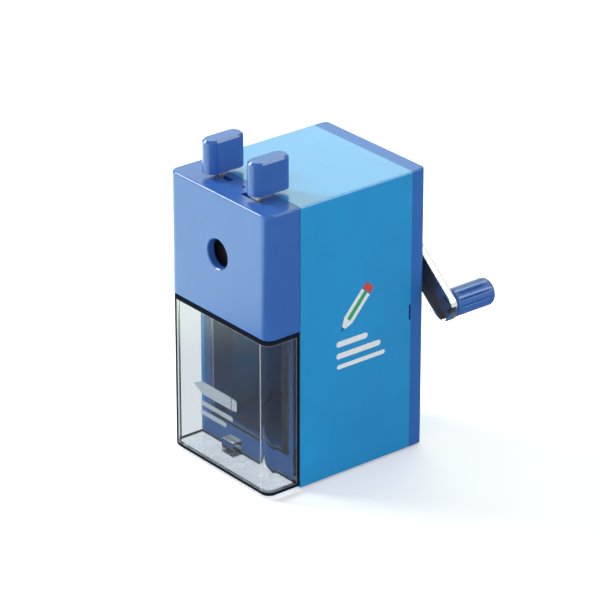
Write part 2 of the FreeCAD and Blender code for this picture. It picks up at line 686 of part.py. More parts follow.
def make_carrier():
    """Turning cage of the cutter: front plate with the pencil passage, trough, rear disc and hub."""
    z = s.axis_height
    inner = s.carrier_radius - s.carrier_wall
    disc_back = s.hub_front + s.carrier_wall
    shaft_end = s.shaft_start + s.shaft_boss
    plate = bar(s.carrier_radius, 0, z, carrier_front, carrier_plate_back)
    above = block((-s.carrier_radius - 1, carrier_front, z - 2),
                  (s.carrier_radius + 1, s.hub_front + 1, z + s.carrier_radius + 2))
    trough = cut(ring(s.carrier_radius, inner, 0, z, carrier_plate_back - 0.5, s.hub_front + 0.5), above)
    guide = bar(s.passage_radius + s.guide_wall, 0, z, carrier_plate_back - 0.5,
                carrier_plate_back + s.guide_depth)
    disc = bar(s.carrier_radius, 0, z, s.hub_front, disc_back)
    hub = bar(s.hub_radius, 0, z, s.hub_front + 1, s.shaft_start)
    boss = bar(s.shaft_radius + 2.5, 0, z, s.shaft_start - 0.5, shaft_end)
    solid = joined(plate, trough, guide, disc, hub, boss)
    passage = bar(s.passage_radius, 0, z, carrier_front - 1, carrier_plate_back + s.guide_depth + 1)
    shaft_bore = bar(s.shaft_radius, 0, z, s.shaft_start, shaft_end + 1)
    axle_bore = tilted_bar(s.axle_radius, 0, s.axle_end)
    sleeve_bore = tilted_bar(s.sleeve_radius + s.running_gap, 0, s.cutter_start)
    room = tilted_bar(s.cutter_radius + s.cutter_room, s.cutter_start - 0.5,
                      s.cutter_start + s.cutter_length + 0.4)
    finish_piece(cut(solid, passage, shaft_bore, axle_bore, sleeve_bore, room), "cutter_carrier")
    finish_piece(tilted_bar(s.axle_radius, s.axle_start, s.axle_end), "cutter_axle")


def make_cutter():
    """The helical cutter's body with its blades, and the pinion fixed to its front."""
    blades = new_body("helical_cutter")
    end = s.cutter_start + s.cutter_length
    bore = circle(0, 0, s.axle_radius + s.running_gap)
    pad(blades, s.cutter_start, end, circle(0, 0, s.cutter_radius), bore)
    groove_top = s.cutter_radius + 0.5
    groove = pocket(blades, s.cutter_start - 1, end + 1, outline([
        (-s.groove_half, groove_top), (s.groove_half, groove_top),
        (s.groove_bottom, s.cutter_radius - s.groove_depth)]))
    repeat_round(blades, groove, s.cutter_blades)
    finish_piece(tilt_to_cutter(blades), "helical_cutter")

    pinion = new_body("cutter_pinion")
    tip = s.pinion_pitch_radius + s.tooth_height
    root = s.pinion_pitch_radius - s.tooth_depth
    half = s.pinion_width / 2
    pad(pinion, -half, half, circle(0, 0, tip), bore)
    gap = pocket(pinion, -half - 1, half + 1, tooth_gap(s.pinion_pitch_radius, root, tip + 0.3, -1))
    repeat_round(pinion, gap, s.pinion_teeth)
    pad(pinion, half, s.cutter_start, circle(0, 0, s.sleeve_radius), bore)
    finish_piece(tilt_to_cutter(pinion), "cutter_pinion")


def make_crank():
    """Drive shaft, its clip and collar, and the channel-shaped arm with the handle's pin."""
    z = s.axis_height
    arm_open = back + s.arm_gap
    arm_back = arm_open + s.arm_depth
    web = arm_back - s.arm_metal
    thread = bar(s.pin_radius, 0, z, web - s.arm_screw_length, web + 1)
    finish_piece(cut(bar(s.shaft_radius, 0, z, s.shaft_start, web), thread), "drive_shaft")
    finish_piece(ring(s.shaft_clip_radius, s.shaft_radius, 0, z, s.shaft_clip_front,
                      s.shaft_clip_front + s.shaft_clip_thickness), "shaft_clip")
    finish_piece(ring(s.collar_radius, s.shaft_radius, 0, z, back + s.collar_gap, web), "hub_collar")

    arm = new_body("crank_arm")
    reach = s.arm_length + s.arm_half_width
    pad(arm, arm_open, arm_back, rectangle(-s.arm_half_width, reach, -s.arm_half_width, s.arm_half_width))
    soften(arm, "Fillet", s.arm_half_width - 0.02, ALONG_Y, lambda p: True)
    round_rim(arm, "Fillet", s.arm_rim, lambda box: box.YMin > arm_back.number - 0.01)
    inset = s.arm_metal
    pocket(arm, arm_open - 1, web, rectangle(
        inset - s.arm_half_width, reach - inset, inset - s.arm_half_width, s.arm_half_width - inset))
    pocket(arm, web - 1, arm_back + 1, circle(0, 0, s.pin_radius), circle(s.arm_length, 0, s.pin_radius))
    put(arm, 0, 0, z)
    finish_piece(tilt(arm, ALONG_Y, s.crank_turn), "crank_arm")

    head_back = arm_back + s.arm_head_height
    screw = joined(bar(s.pin_radius, 0, z, web - s.arm_screw_length + 0.5, arm_back),
                   bar(s.arm_head_radius, 0, z, arm_back, head_back))
    slot = block((-s.arm_head_radius - 1, head_back - s.arm_slot_depth, z - s.cross_half),
                 (s.arm_head_radius + 1, head_back + 1, z + s.cross_half))
    finish_piece(cut(screw, slot), "arm_screw")
    make_handle(web, arm_back)


def make_handle(web, arm_back):
    """The pin riveted into the arm's far end, and the fluted handle that turns on it."""
    turn = math.radians(s.crank_turn.number)
    x = s.arm_length * Size(math.cos(turn), "cos(sizes.crank_turn)")
    z = s.axis_height - s.arm_length * Size(math.sin(turn), "sin(sizes.crank_turn)")
    start = arm_back + s.handle_gap
    cap_back = start + s.handle_length - s.pin_recess
    cap_front = cap_back - s.pin_cap_height
    pin = joined(bar(s.pin_head_radius, x, z, web - s.pin_head_height, web),
                 bar(s.pin_radius, x, z, web, cap_front),
                 bar(s.pin_cap_radius, x, z, cap_front, cap_back))
    finish_piece(pin, "handle_pin")

    grip = new_body("crank_handle")
    pad(grip, 0, s.handle_length, circle(0, 0, s.handle_radius))
    round_rim(grip, "Fillet", s.handle_crown, lambda box: box.YMin > s.handle_length.number - 0.1)
    ridge = pocket(grip, s.ridge_start, s.handle_length - s.ridge_margin,
                   circle(0, s.handle_radius + s.ridge_offset, s.ridge_radius))
    repeat_round(grip, ridge, s.handle_ridges)
    pocket(grip, -1, s.handle_length + 1, circle(0, 0, s.pin_radius + 0.05))
    pocket(grip, s.handle_length - s.handle_well_depth, s.handle_length + 1, circle(0, 0, s.handle_well))
    put(grip, x, start, z)
    finish_piece(grip, "crank_handle")


# ---------------------------------------------------------------- drawer

def make_drawer():
    """Clear drawer: a box that fills the case's front below the clamp, and a tray that reaches inside."""
    body = new_body("shavings_drawer")
    edge = half_width - s.drawer_gap
    wall = s.drawer_wall
    tray_inner = s.tray_reach - wall
    open_back = face_back.number - 0.01
    bottom = s.drawer_bottom.number + 0.01
    inner_floor = s.drawer_bottom + wall
    pad(body, front, face_back, rectangle(-edge, edge, s.drawer_bottom, s.drawer_top))
    soften(body, "Fillet", s.front_round, UP, lambda p: p.y < front.number + 0.1)
    round_rim(body, "Fillet", s.drawer_round, lambda box: box.ZMax < bottom and box.YMin < open_back)
    pocket(body, front + wall, face_back - wall,
           rectangle(-edge + wall, edge - wall, inner_floor, s.drawer_top + 1))
    inner_front = (front + wall).number
    inner_side = (edge - wall).number
    soften(body, "Fillet", s.front_round - wall, UP,
           lambda p: abs(p.y - inner_front) < 0.1 and abs(abs(p.x) - inner_side) < 0.1)
    pad(body, face_back - 0.5, s.tray_end,
        rectangle(-s.tray_reach, s.tray_reach, s.tray_bottom, s.tray_top))
    pocket(body, face_back - wall - 0.5, s.tray_end - wall,
           rectangle(-tray_inner, tray_inner, s.tray_bottom + wall, s.drawer_top + 2))
    pad(body, inner_floor - 0.5, inner_floor + s.drawer_block_height,
        rectangle(s.drawer_block_left, s.drawer_block_right,
                  face_back - wall - s.drawer_block_depth, face_back - wall + 0.5), role="XY_Plane")
    finish_piece(body, "shavings_drawer")


make_body_shell()
make_rear_cover()
make_chassis()
make_gear_housing()
make_ring_gear()
make_bearings()
make_return_springs()
make_face_shell()
make_guide_rods()
make_lever_pivot()
make_levers()
make_carrier()
make_cutter()
make_crank()
make_drawer()
doc.recompute()

for item in doc.Objects:
    if "Invalid" in item.State or "Error" in item.State:
        raise RuntimeError("%s (%s) failed: %s" % (item.Name, item.Label, item.State))
for item in PIECES:
    if item.Shape.isNull() or not item.Shape.isValid():
        raise RuntimeError("%s has no valid shape" % item.Label)

os.makedirs("parts", exist_ok=True)
for item in PIECES:
    item.Shape.exportStep("parts/%s.step" % item.Label)
    print(item.Label, len(item.Shape.Solids), round(item.Shape.Volume, 1))
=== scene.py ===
import math
from functools import reduce

import bmesh
import bpy
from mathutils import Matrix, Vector
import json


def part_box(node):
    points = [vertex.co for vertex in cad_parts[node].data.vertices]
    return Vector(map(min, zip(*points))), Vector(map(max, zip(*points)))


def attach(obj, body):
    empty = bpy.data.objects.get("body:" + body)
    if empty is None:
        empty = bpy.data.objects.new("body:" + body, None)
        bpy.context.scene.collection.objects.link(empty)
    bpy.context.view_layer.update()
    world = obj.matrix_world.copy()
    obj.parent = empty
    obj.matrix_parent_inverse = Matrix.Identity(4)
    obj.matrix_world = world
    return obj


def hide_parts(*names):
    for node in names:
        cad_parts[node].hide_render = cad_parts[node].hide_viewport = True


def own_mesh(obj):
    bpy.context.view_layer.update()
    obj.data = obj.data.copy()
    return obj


# The looks of a desktop crank pencil sharpener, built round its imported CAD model.
# Metres, +Z up, -Y the front.

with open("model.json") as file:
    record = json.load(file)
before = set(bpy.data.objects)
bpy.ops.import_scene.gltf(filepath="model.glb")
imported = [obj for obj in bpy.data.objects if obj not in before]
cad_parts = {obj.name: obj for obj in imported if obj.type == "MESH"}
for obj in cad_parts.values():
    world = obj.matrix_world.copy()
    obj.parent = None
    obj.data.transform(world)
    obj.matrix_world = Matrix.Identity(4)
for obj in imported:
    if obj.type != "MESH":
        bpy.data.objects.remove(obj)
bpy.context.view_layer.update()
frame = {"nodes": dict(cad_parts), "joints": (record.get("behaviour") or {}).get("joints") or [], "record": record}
MM = 0.001


# ---------------------------------------------------------------- camera and lights

CAMERA_AZIMUTH = 51.08
CAMERA_ELEVATION = 25.15
CAMERA_DISTANCE = 1.40518
CAMERA_LENS = 219.57
CAMERA_SENSOR = 36
CAMERA_CLIP = (0.05, 20)
LOOK_AT = Vector((0.00499, -0.0028, 0.06528))

WHITE = (1, 1, 1)
# Name, azimuth, elevation, distance, size, power and colour.
SOFT_LIGHTS = (
    ("key", -60, 35, 1.3, 0.45, 13, WHITE),
    ("top_back", 231, 27, 1.6, 1.5, 6.2, (0.74, 1.0, 0.76)),
    ("edge_light", 144, 45, 1.4, 0.5, 0.45, WHITE),
)
GLOSS_LIGHTS = (
    ("rim_light", 143.5, 49.5, 1.395, 0.13, 0.75, (0.88, 1.0, 0.97)),
    ("handle_light", 202, 49, 1.4, 0.3, 2.3, (0.8, 1.0, 1.0)),
    ("side_edge_light", 136, 32, 1.437, 0.3, 2.6, (0.8, 1.0, 1.0)),
)


def direction(azimuth, elevation):
    """Unit vector towards a place seen at an azimuth from the front and an elevation, in degrees."""
    a, e = math.radians(azimuth), math.radians(elevation)
    return Vector((math.sin(a) * math.cos(e), -math.cos(a) * math.cos(e), math.sin(e)))


def new_item(name, data):
    """A new object in the scene."""
    item = bpy.data.objects.new(name, data)
    bpy.context.scene.collection.objects.link(item)
    return item


def aim(item, azimuth, elevation, distance):
    """Put a camera or a light round the object, pointing at it."""
    item.location = LOOK_AT + direction(azimuth, elevation) * distance
    item.rotation_euler = (LOOK_AT - item.location).to_track_quat("-Z", "Y").to_euler()


def make_camera():
    data = bpy.data.cameras.new("camera")
    data.lens = CAMERA_LENS
    data.sensor_width = CAMERA_SENSOR
    data.clip_start, data.clip_end = CAMERA_CLIP
    camera = new_item("camera", data)
    aim(camera, CAMERA_AZIMUTH, CAMERA_ELEVATION, CAMERA_DISTANCE)
    bpy.context.scene.camera = camera


def area_light(name, azimuth, elevation, distance, size, power, colour, gloss_only):
    """A soft square light that shines at the object, or that is only mirrored in it."""
    data = bpy.data.lights.new(name, "AREA")
    data.shape = "SQUARE"
    data.size = size
    data.energy = power
    data.color = colour
    light = new_item(name, data)
    aim(light, azimuth, elevation, distance)
    light.visible_diffuse = not gloss_only


def make_lights():
    for settings in SOFT_LIGHTS:
        area_light(*settings, gloss_only=False)
    for settings in GLOSS_LIGHTS:
        area_light(*settings, gloss_only=True)


# ---------------------------------------------------------------- node helpers

def maths(tree, operation, *sources):
    """Output of a Math node whose sources are numbers or sockets."""
    node = tree.nodes.new("ShaderNodeMath")
    node.operation = operation
    for index, source in enumerate(sources):
        if isinstance(source, (int, float)):
            node.inputs[index].default_value = source
        else:
            tree.links.new(source, node.inputs[index])
    return node.outputs[0]


def product(tree, *sources):
    return reduce(lambda a, b: maths(tree, "MULTIPLY", a, b), sources)


def largest(tree, *sources):
    return reduce(lambda a, b: maths(tree, "MAXIMUM", a, b), sources)


def rest_of(tree, source, whole=1.0):
    return maths(tree, "SUBTRACT", whole, source)


def fade(tree, source, start, end, low=0.0, high=1.0):
    """A smooth step: low where the source is at start, high where it is at end."""
    node = tree.nodes.new("ShaderNodeMapRange")
    node.interpolation_type = "SMOOTHSTEP"
    for key, value in (("From Min", start), ("From Max", end), ("To Min", low), ("To Max", high)):
        node.inputs[key].default_value = value
    tree.links.new(source, node.inputs["Value"])
    return node.outputs["Result"]


def over(tree, source, edge, blur):
    """0 up to an edge, and 1 from the blur above it."""
    return fade(tree, source, edge, edge + blur)


def under(tree, source, edge, blur):
    """0 down to an edge, and 1 from the blur below it."""
    return fade(tree, source, edge, edge - blur)


def mix_shaders(tree, share, first, second):
    """A Mix Shader between the outputs of two nodes."""
    mix = tree.nodes.new("ShaderNodeMixShader")
    tree.links.new(share, mix.inputs[0])
    tree.links.new(first.outputs[0], mix.inputs[1])
    tree.links.new(second.outputs[0], mix.inputs[2])
    return mix


def coordinates(tree, kind="Object"):
    """Texture coordinates: the whole vector, then its X, Y and Z."""
    place = tree.nodes.new("ShaderNodeTexCoord")
    split = tree.nodes.new("ShaderNodeSeparateXYZ")
    tree.links.new(place.outputs[kind], split.inputs[0])
    return (place.outputs[kind], *split.outputs)


def emission(tree, colour, strength=1.0):
    node = tree.nodes.new("ShaderNodeEmission")
    node.inputs["Color"].default_value = (*colour, 1)
    node.inputs["Strength"].default_value = strength
    return node


def undiffused(tree, path, kind):
    """1 for a ray of one kind that no matt surface has scattered before."""
    return product(tree, path.outputs[kind], maths(tree, "LESS_THAN", path.outputs["Diffuse Depth"], 0.5))


# ---------------------------------------------------------------- world and floor

HORIZON_LIGHT = 0.98
ZENITH_LIGHT = 0.50

FLOOR_REACH = 6.0
FLOOR_DROP = 0.1 * MM
FLOOR_WHITE = (0.95, 0.95, 0.95)
BACKLIGHT = 0.3
CARD_AZIMUTH = -51
CARD_EDGE = (0.12, 0.18)
CARD_COLOUR = (0.84, 1.0, 0.66)
CARD_LIGHT = 3.1
CLOTH_COLOUR = (0.85, 0.90, 1.0)
CLOTH_EDGE = (0.30, 0.55)
CLOTH_LIGHT = 0.18
FAR_LIGHT = 0.8


def make_world():
    """A white dome: plain where it's seen, directly or through clear plastic, and softer where it lights."""
    world = bpy.data.worlds.new("studio")
    bpy.context.scene.world = world
    world.use_nodes = True
    tree = world.node_tree
    lighting = tree.nodes["Background"]
    lighting.inputs["Color"].default_value = (*WHITE, 1)
    _, _, _, up = coordinates(tree, "Generated")
    height = maths(tree, "ABSOLUTE", up)
    tree.links.new(fade(tree, height, 0.0, 1.0, HORIZON_LIGHT, ZENITH_LIGHT), lighting.inputs["Strength"])
    seen = tree.nodes.new("ShaderNodeBackground")
    seen.inputs["Color"].default_value = (*WHITE, 1)
    seen.inputs["Strength"].default_value = 1.0
    path = tree.nodes.new("ShaderNodeLightPath")
    through = undiffused(tree, path, "Is Transmission Ray")
    mix = mix_shaders(tree, largest(tree, path.outputs["Is Camera Ray"], through), lighting, seen)
    tree.links.new(mix.outputs[0], tree.nodes["World Output"].inputs["Surface"])


def mirrored_table(tree):
    """What glossy things mirror of the floor: a bright card at one side, dark cloth, lighter far out."""
    spot, x, y, _ = coordinates(tree)
    towards_card = direction(CARD_AZIMUTH, 0)
    along = maths(tree, "ADD", product(tree, x, towards_card.x), product(tree, y, towards_card.y))
    distance = tree.nodes.new("ShaderNodeVectorMath")
    distance.operation = "LENGTH"
    tree.links.new(spot, distance.inputs[0])
    cloth = emission(tree, CLOTH_COLOUR)
    cloth_light = fade(tree, distance.outputs["Value"], *CLOTH_EDGE, CLOTH_LIGHT, FAR_LIGHT)
    tree.links.new(cloth_light, cloth.inputs["Strength"])
    card = emission(tree, CARD_COLOUR, CARD_LIGHT)
    return mix_shaders(tree, fade(tree, along, *CARD_EDGE), cloth, card)


def floor_material():
    """Matt white, a little backlit where it's seen directly and plain where it's seen through clear plastic."""
    material = shaded("floor_white", FLOOR_WHITE, roughness=0.6)
    tree = material.node_tree
    path = tree.nodes.new("ShaderNodeLightPath")
    mirrored = product(tree, maths(tree, "GREATER_THAN", path.outputs["Glossy Depth"], 0.5),
                       undiffused(tree, path, "Is Glossy Ray"))
    paper = tree.nodes["Principled BSDF"]
    paper.inputs["Emission Color"].default_value = (*WHITE, 1)
    tree.links.new(product(tree, path.outputs["Is Camera Ray"], BACKLIGHT),
                   paper.inputs["Emission Strength"])
    through = undiffused(tree, path, "Is Transmission Ray")
    unmirrored = mix_shaders(tree, through, paper, emission(tree, WHITE))
    mix = mix_shaders(tree, mirrored, unmirrored, mirrored_table(tree))
    tree.links.new(mix.outputs[0], tree.nodes["Material Output"].inputs["Surface"])
    return material


def make_floor():
    mesh = bpy.data.meshes.new("floor")
    r = FLOOR_REACH
    mesh.from_pydata([(-r, -r, 0), (r, -r, 0), (r, r, 0), (-r, r, 0)], [], [(0, 1, 2, 3)])
    floor = new_item("floor", mesh)
    floor.location.z = -FLOOR_DROP
    floor.data.materials.append(floor_material())


# ---------------------------------------------------------------- materials

BLUE = (0.036, 0.137, 0.468)
COVER_BLUE = (0.031, 0.153, 0.50)
FRAME_BLUE = (0.016, 0.125, 0.40)
SKY_BLUE = (0.003, 0.31, 0.70)
# Painted shade on the inner frame, darker towards its top.
SHADE_BLUE = (0.003, 0.06, 0.19)
DARK_GREY = (0.03, 0.032, 0.036)
BLACK = (0.018, 0.018, 0.018)
CLEAR = (0.96, 0.975, 0.985)
CLEAR_WALL = (0.935, 0.95, 0.96)
SMOKE = (0.44, 0.58, 0.67)
SMOKE_DENSITY = 70
SMOKE_GLOSS = (0.12, 0.18, 0.28)
# Painted shade on the drawer's edges.
PAINTED_EDGE_SHADE = (0.010, 0.014, 0.024)
CHROME = (0.78, 0.78, 0.78)
WARM_CHROME = (0.78, 0.77, 0.76)
# Painted shade in the crank arm's hollow.
PAINTED_HOLLOW_SHADE = (0.26, 0.26, 0.29)
NOISE_SPAN = (0.3, 0.7)


def shaded(name, colour, roughness=0.4, metallic=0.0, **inputs):
    """A new Principled material with constant values."""
    material = bpy.data.materials.new(name)
    material.use_nodes = True
    shader = material.node_tree.nodes["Principled BSDF"]
    shader.inputs["Base Color"].default_value = (*colour, 1)
    shader.inputs["Roughness"].default_value = roughness
    shader.inputs["Metallic"].default_value = metallic
    for key, value in inputs.items():
        shader.inputs[key.replace("_", " ")].default_value = value
    return material


def scaled(colour, factor):
    return tuple(min(1, value * factor) for value in colour)


def texture(material, kind, scale, **settings):
    """A texture node on object coordinates, in repeats per metre."""
    nodes, links = material.node_tree.nodes, material.node_tree.links
    place = nodes.new("ShaderNodeTexCoord")
    node = nodes.new("ShaderNodeTex" + kind)
    node.inputs["Scale"].default_value = scale
    for key, value in settings.items():
        node.inputs[key.replace("_", " ")].default_value = value
    links.new(place.outputs["Object"], node.inputs["Vector"])
    return node


def vary_colour(material, source, span, colours):
    """Colour the shader by a source: the first colour at the span's start, the second at its end."""
    nodes, links = material.node_tree.nodes, material.node_tree.links
    ramp = nodes.new("ShaderNodeValToRGB")
    for element, position, colour in zip(ramp.color_ramp.elements, span, colours):
        element.position = position
        element.color = (*colour, 1)
    links.new(source, ramp.inputs["Fac"])
    links.new(ramp.outputs["Color"], nodes["Principled BSDF"].inputs["Base Color"])
    return ramp


def vary_roughness(material, source, low, high):
    """Drive the shader's roughness from a noise, between two values."""
    nodes, links = material.node_tree.nodes, material.node_tree.links
    spread = nodes.new("ShaderNodeMapRange")
    for key, value in zip(("From Min", "From Max", "To Min", "To Max"), (*NOISE_SPAN, low, high)):
        spread.inputs[key].default_value = value
    links.new(source, spread.inputs["Value"])
    links.new(spread.outputs["Result"], nodes["Principled BSDF"].inputs["Roughness"])


def roughen(material, source, depth):
    """Fine relief from a texture: depth in metres."""
    nodes, links = material.node_tree.nodes, material.node_tree.links
    bump = nodes.new("ShaderNodeBump")
    bump.inputs["Strength"].default_value = 1.0
    bump.inputs["Distance"].default_value = depth
    links.new(source, bump.inputs["Height"])
    links.new(bump.outputs["Normal"], nodes["Principled BSDF"].inputs["Normal"])


def blend_colour(material, share, own, other, colour):
    """Mix the shader's colour, at one side of a Mix node, with a plain one at the other side."""
    tree = material.node_tree
    base = tree.nodes["Principled BSDF"].inputs["Base Color"]
    mix = tree.nodes.new("ShaderNodeMix")
    mix.data_type = "RGBA"
    mix.inputs[other].default_value = (*colour, 1)
    tree.links.new(share, mix.inputs["Factor"])
    tree.links.new(base.links[0].from_socket, mix.inputs[own])
    tree.links.new(mix.outputs["Result"], base)


def moulded_plastic(name, colour, roughness, coat=0.0, specular=0.5):
    """Glossy moulded plastic: faint mottling, uneven gloss and a very fine orange peel."""
    mottle_scale, mottle = 45, (0.95, 1.05)
    wear_scale, wear = 150, (0.95, 1.06)
    peel_scale, peel_depth = 700, 0.0015 * MM
    material = shaded(name, colour, roughness, Coat_Weight=coat, Coat_Roughness=0.12, IOR=1.5,
                      Specular_IOR_Level=specular)
    cloud = texture(material, "Noise", mottle_scale, Detail=3.0)
    vary_colour(material, cloud.outputs["Fac"], NOISE_SPAN, [scaled(colour, factor) for factor in mottle])
    worn = texture(material, "Noise", wear_scale, Detail=2.0)
    vary_roughness(material, worn.outputs["Fac"], *(roughness * factor for factor in wear))
    peel = texture(material, "Noise", peel_scale, Detail=1.0)
    roughen(material, peel.outputs["Fac"], peel_depth)
    return material


def shade_painted_plastic(name, colour):
    """Satin plastic of the inner frame, with painted shade: it darkens from 8 mm up to 40 mm high, where the face
    block above would shade it.
    """
    shade_start, shade_full, shade_share = 8 * MM, 40 * MM, 0.8
    material = moulded_plastic(name, colour, 0.6, specular=0.08)
    tree = material.node_tree
    _, _, _, height = coordinates(tree)
    # Painted shade: the frame's colour darkens with height, standing for the shade under the face block.
    dust_and_shade = fade(tree, height, shade_start, shade_full, 0.0, shade_share)
    blend_colour(material, dust_and_shade, "A", "B", SHADE_BLUE)
    return material


def matt_plastic(name, colour):
    """Matt engineering plastic with a sparked, sandy finish."""
    sand_scale, sand_depth, sand_span, sand_light = 2600, 0.04 * MM, (0.35, 0.65), 1.35
    material = shaded(name, colour, 0.55)
    sand = texture(material, "Noise", sand_scale, Detail=4.0)
    vary_colour(material, sand.outputs["Fac"], sand_span, (colour, scaled(colour, sand_light)))
    roughen(material, sand.outputs["Fac"], sand_depth)
    return material


def metal(name, colour, roughness, scale=900, depth=0.004 * MM, streak=1.0):
    """Metal with drawn or ground streaks round its height, fainter as streak goes to 0."""
    flattening, dulling, smoothing, roughening = (1, 1, 12), 0.14, 0.3, 0.4
    material = shaded(name, colour, roughness, metallic=1.0)
    nodes, links = material.node_tree.nodes, material.node_tree.links
    place = nodes.new("ShaderNodeTexCoord")
    squeeze = nodes.new("ShaderNodeMapping")
    squeeze.inputs["Scale"].default_value = flattening
    streaks = nodes.new("ShaderNodeTexNoise")
    streaks.inputs["Scale"].default_value = scale
    streaks.inputs["Detail"].default_value = 4.0
    links.new(place.outputs["Object"], squeeze.inputs["Vector"])
    links.new(squeeze.outputs["Vector"], streaks.inputs["Vector"])
    source = streaks.outputs["Fac"]
    vary_colour(material, source, NOISE_SPAN, (scaled(colour, 1 - dulling * streak), colour))
    vary_roughness(material, source, roughness * (1 - smoothing * streak),
                   roughness * (1 + roughening * streak))
    roughen(material, source, depth)
    return material


def smooth_chrome(name, colour, roughness):
    """Plated metal whose streaks barely show."""
    return metal(name, colour, roughness, scale=300, depth=0.0006 * MM, streak=0.4)


def rubber(name, colour):
    """Matt rubber with a pitted surface."""
    pit_scale, pit_depth, pit_span = 1400, 0.08 * MM, (0.1, 0.7)
    material = shaded(name, colour, 0.8)
    pits = texture(material, "Voronoi", pit_scale)
    lighter = tuple(value * 1.8 + 0.01 for value in colour)
    vary_colour(material, pits.outputs["Distance"], pit_span, (colour, lighter))
    roughen(material, pits.outputs["Distance"], pit_depth)
    return material


def smoke_masks(material):
    """Where the drawer's plastic is painted dark as shade, and where it turns frosted: in patches on its floor,
    and as painted highlights on its front wall and on the block in its tray.
    """
    fine, soft = 0.3 * MM, 0.4 * MM
    flat, steep = 0.95, 0.8
    foot_top, rim_depth = 2.3 * MM, 1.9 * MM
    seam_skin, seam_reach = 0.6 * MM, 1.7 * MM
    graze_start, graze_full, graze_dark = 0.74, 0.95, 0.95
    turn_start, turn_full = 0.36, 0.41
    corner_width, corner_reach = 3.8 * MM, 3.9 * MM
    floor_top, dust_scale, dust_span, dust_milk = 2.6 * MM, 160, (0.35, 0.6), (0.1, 0.3)
    line_inner, line_outer, line_blur, line_reach, edge_highlight_share = 4.5 * MM, 3.8 * MM, 0.25 * MM, 0.5 * MM, 0.4
    block_low, block_high, block_highlight_share = 7.6 * MM, 8.4 * MM, 0.3

    tree = material.node_tree
    low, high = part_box("shavings_drawer")
    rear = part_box("face_shell")[1].y
    _, across, along, height = coordinates(tree)
    sideways = maths(tree, "ABSOLUTE", across)
    geometry = tree.nodes.new("ShaderNodeNewGeometry")
    normal = tree.nodes.new("ShaderNodeSeparateXYZ")
    tree.links.new(geometry.outputs["True Normal"], normal.inputs[0])
    upright = fade(tree, maths(tree, "ABSOLUTE", normal.outputs["Z"]), flat, steep)
    facing_up = fade(tree, normal.outputs["Z"], steep, flat)
    outside = rest_of(tree, geometry.outputs["Backfacing"])
    looked_along = tree.nodes.new("ShaderNodeLayerWeight")
    looked_along.inputs["Blend"].default_value = 0.5
    slant = looked_along.outputs["Facing"]

    # Painted shade: dark bands at the foot, the rim, the rear seam and the front corner, and where the glass is
    # looked along, stand for the shade in the gaps and the dark look of glass seen edge-on.
    foot = product(tree, upright, under(tree, height, low.z + foot_top, soft))
    rim = over(tree, height, high.z - rim_depth, fine)
    seam = product(tree, over(tree, sideways, high.x - seam_skin, fine),
                   over(tree, along, rear - seam_reach, soft), outside)
    grazing = product(tree, outside, fade(tree, slant, graze_start, graze_full, 0.0, graze_dark))
    corner = product(tree, over(tree, sideways, high.x - corner_width, fine),
                     under(tree, along, low.y + corner_reach, soft))
    turning = product(tree, upright, outside, corner, fade(tree, slant, turn_start, turn_full))
    dark = largest(tree, foot, rim, seam, grazing, turning)

    patches = texture(material, "Noise", dust_scale, Detail=3.0)
    dust_and_shade = product(tree, under(tree, height, low.z + floor_top, fine), facing_up,
                   fade(tree, patches.outputs["Fac"], *dust_span, *dust_milk))
    # Painted highlights: a frosted line on the front wall where the right corner starts to turn, and a frosted top
    # on the block in the tray.
    painted_edge_highlight = product(tree, over(tree, sideways, high.x - line_inner, line_blur),
                        under(tree, sideways, high.x - line_outer, line_blur),
                        under(tree, along, low.y + line_reach, fine), edge_highlight_share)
    painted_block_highlight = product(tree, over(tree, height, low.z + block_low, fine),
                        under(tree, height, low.z + block_high, fine), facing_up, block_highlight_share)
    return dark, largest(tree, dust_and_shade, painted_edge_highlight, painted_block_highlight)


def smoked_plastic(name):
    """Clear smoked plastic: painted shade darkens its rims, its seam and its corners; it turns frosted in patches
    on its floor and as painted highlights.
    """
    clearness, gloss = 0.98, 0.5
    haze_scale, haze_roughness = 120, 0.04
    flow_scale, flow_depth = 60, 0.01 * MM
    material = shaded(name, CLEAR, 0.03, IOR=1.22)
    tree = material.node_tree
    shader, output = tree.nodes["Principled BSDF"], tree.nodes["Material Output"]
    shader.inputs["Specular Tint"].default_value = (*SMOKE_GLOSS, 1)
    tint = tree.nodes.new("ShaderNodeVolumeAbsorption")
    tint.inputs["Color"].default_value = (*SMOKE, 1)
    tint.inputs["Density"].default_value = SMOKE_DENSITY
    tree.links.new(tint.outputs["Volume"], output.inputs["Volume"])

    dark, dust_and_highlight = smoke_masks(material)
    # Painted shade: where the shade mask is set, the colour goes dark and the glass stops letting light through.
    ramp = vary_colour(material, dark, (0.0, 1.0), (CLEAR_WALL, PAINTED_EDGE_SHADE))
    bright = rest_of(tree, dark)
    tree.links.new(product(tree, bright, rest_of(tree, dust_and_highlight, clearness)),
                   shader.inputs["Transmission Weight"])
    tree.links.new(product(tree, bright, gloss), shader.inputs["Specular IOR Level"])

    path = tree.nodes.new("ShaderNodeLightPath")
    lit_through = product(tree, largest(tree, path.outputs["Is Shadow Ray"], path.outputs["Is Diffuse Ray"]),
                          rest_of(tree, dust_and_highlight))
    clear = tree.nodes.new("ShaderNodeBsdfTransparent")
    tree.links.new(ramp.outputs["Color"], clear.inputs["Color"])
    mix = mix_shaders(tree, lit_through, shader, clear)
    tree.links.new(mix.outputs[0], output.inputs["Surface"])
    haze = texture(material, "Noise", haze_scale, Detail=4.0)
    vary_roughness(material, haze.outputs["Fac"], 0.0, haze_roughness)
    flow = texture(material, "Noise", flow_scale, Detail=1.0)
    roughen(material, flow.outputs["Fac"], flow_depth)
    return material


